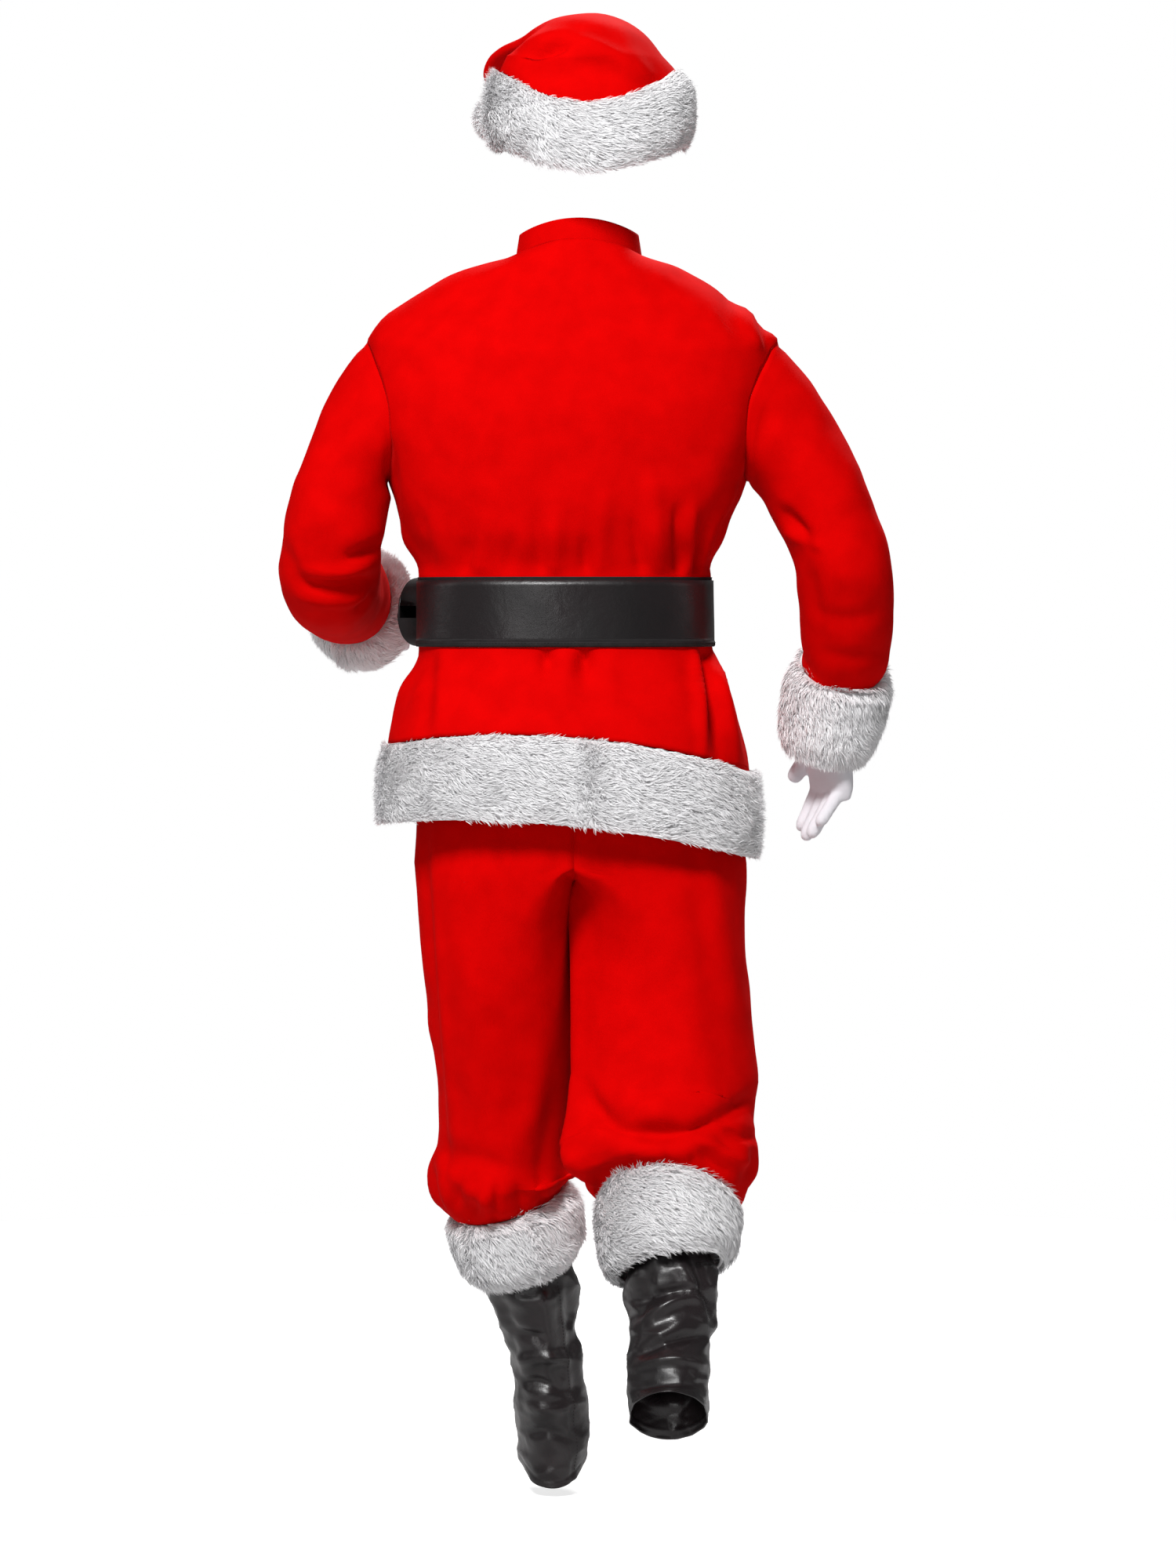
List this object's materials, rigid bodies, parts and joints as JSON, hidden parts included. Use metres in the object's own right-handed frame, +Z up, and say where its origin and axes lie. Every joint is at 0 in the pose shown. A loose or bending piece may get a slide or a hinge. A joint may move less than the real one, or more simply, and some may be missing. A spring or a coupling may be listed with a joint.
{
  "type": "santa suit",
  "caption": "Worn Santa suit without its wearer: red plush jacket and trousers with white fur bands, fur-trimmed hat, black belt, boot covers and white gloves.",
  "frame": {"origin": "centre of the jacket's neck opening, between the wearer's shoulders that carry the suit", "axes": "+Z up, -Y the way the suit faces, +X towards the wearer's left"},
  "size_m": [0.7555, 0.7332, 1.8169],
  "materials": {
    "red_plush": "short napped plush, bright red",
    "white_fur": "long-pile imitation fur, white",
    "black_faux_leather": "thin imitation leather, black, semi-gloss",
    "white_knit": "fine knit, white",
    "gold_buckle": "polished, gold-coloured"
  },
  "bodies": {
    "root": {"belt_buckle": "gold_buckle", "belt_prong": "gold_buckle", "belt_strap": "black_faux_leather", "boot_cover_left": "black_faux_leather", "boot_cover_right": "black_faux_leather", "fur_ankle_left": "white_fur", "fur_ankle_right": "white_fur", "fur_cuff_left": "white_fur", "fur_cuff_right": "white_fur", "fur_hem": "white_fur", "glove_left": "white_knit", "glove_right": "white_knit", "hat_brim": "white_fur", "hat_crown": "red_plush", "hat_pompom": "white_fur", "jacket_back": "red_plush", "jacket_collar": "red_plush", "jacket_front_left": "red_plush", "jacket_front_right": "red_plush", "jacket_sleeve_left": "red_plush", "jacket_sleeve_right": "red_plush", "trousers_left": "red_plush", "trousers_right": "red_plush", "trousers_waistband": "red_plush"}
  },
  "joints": []
}
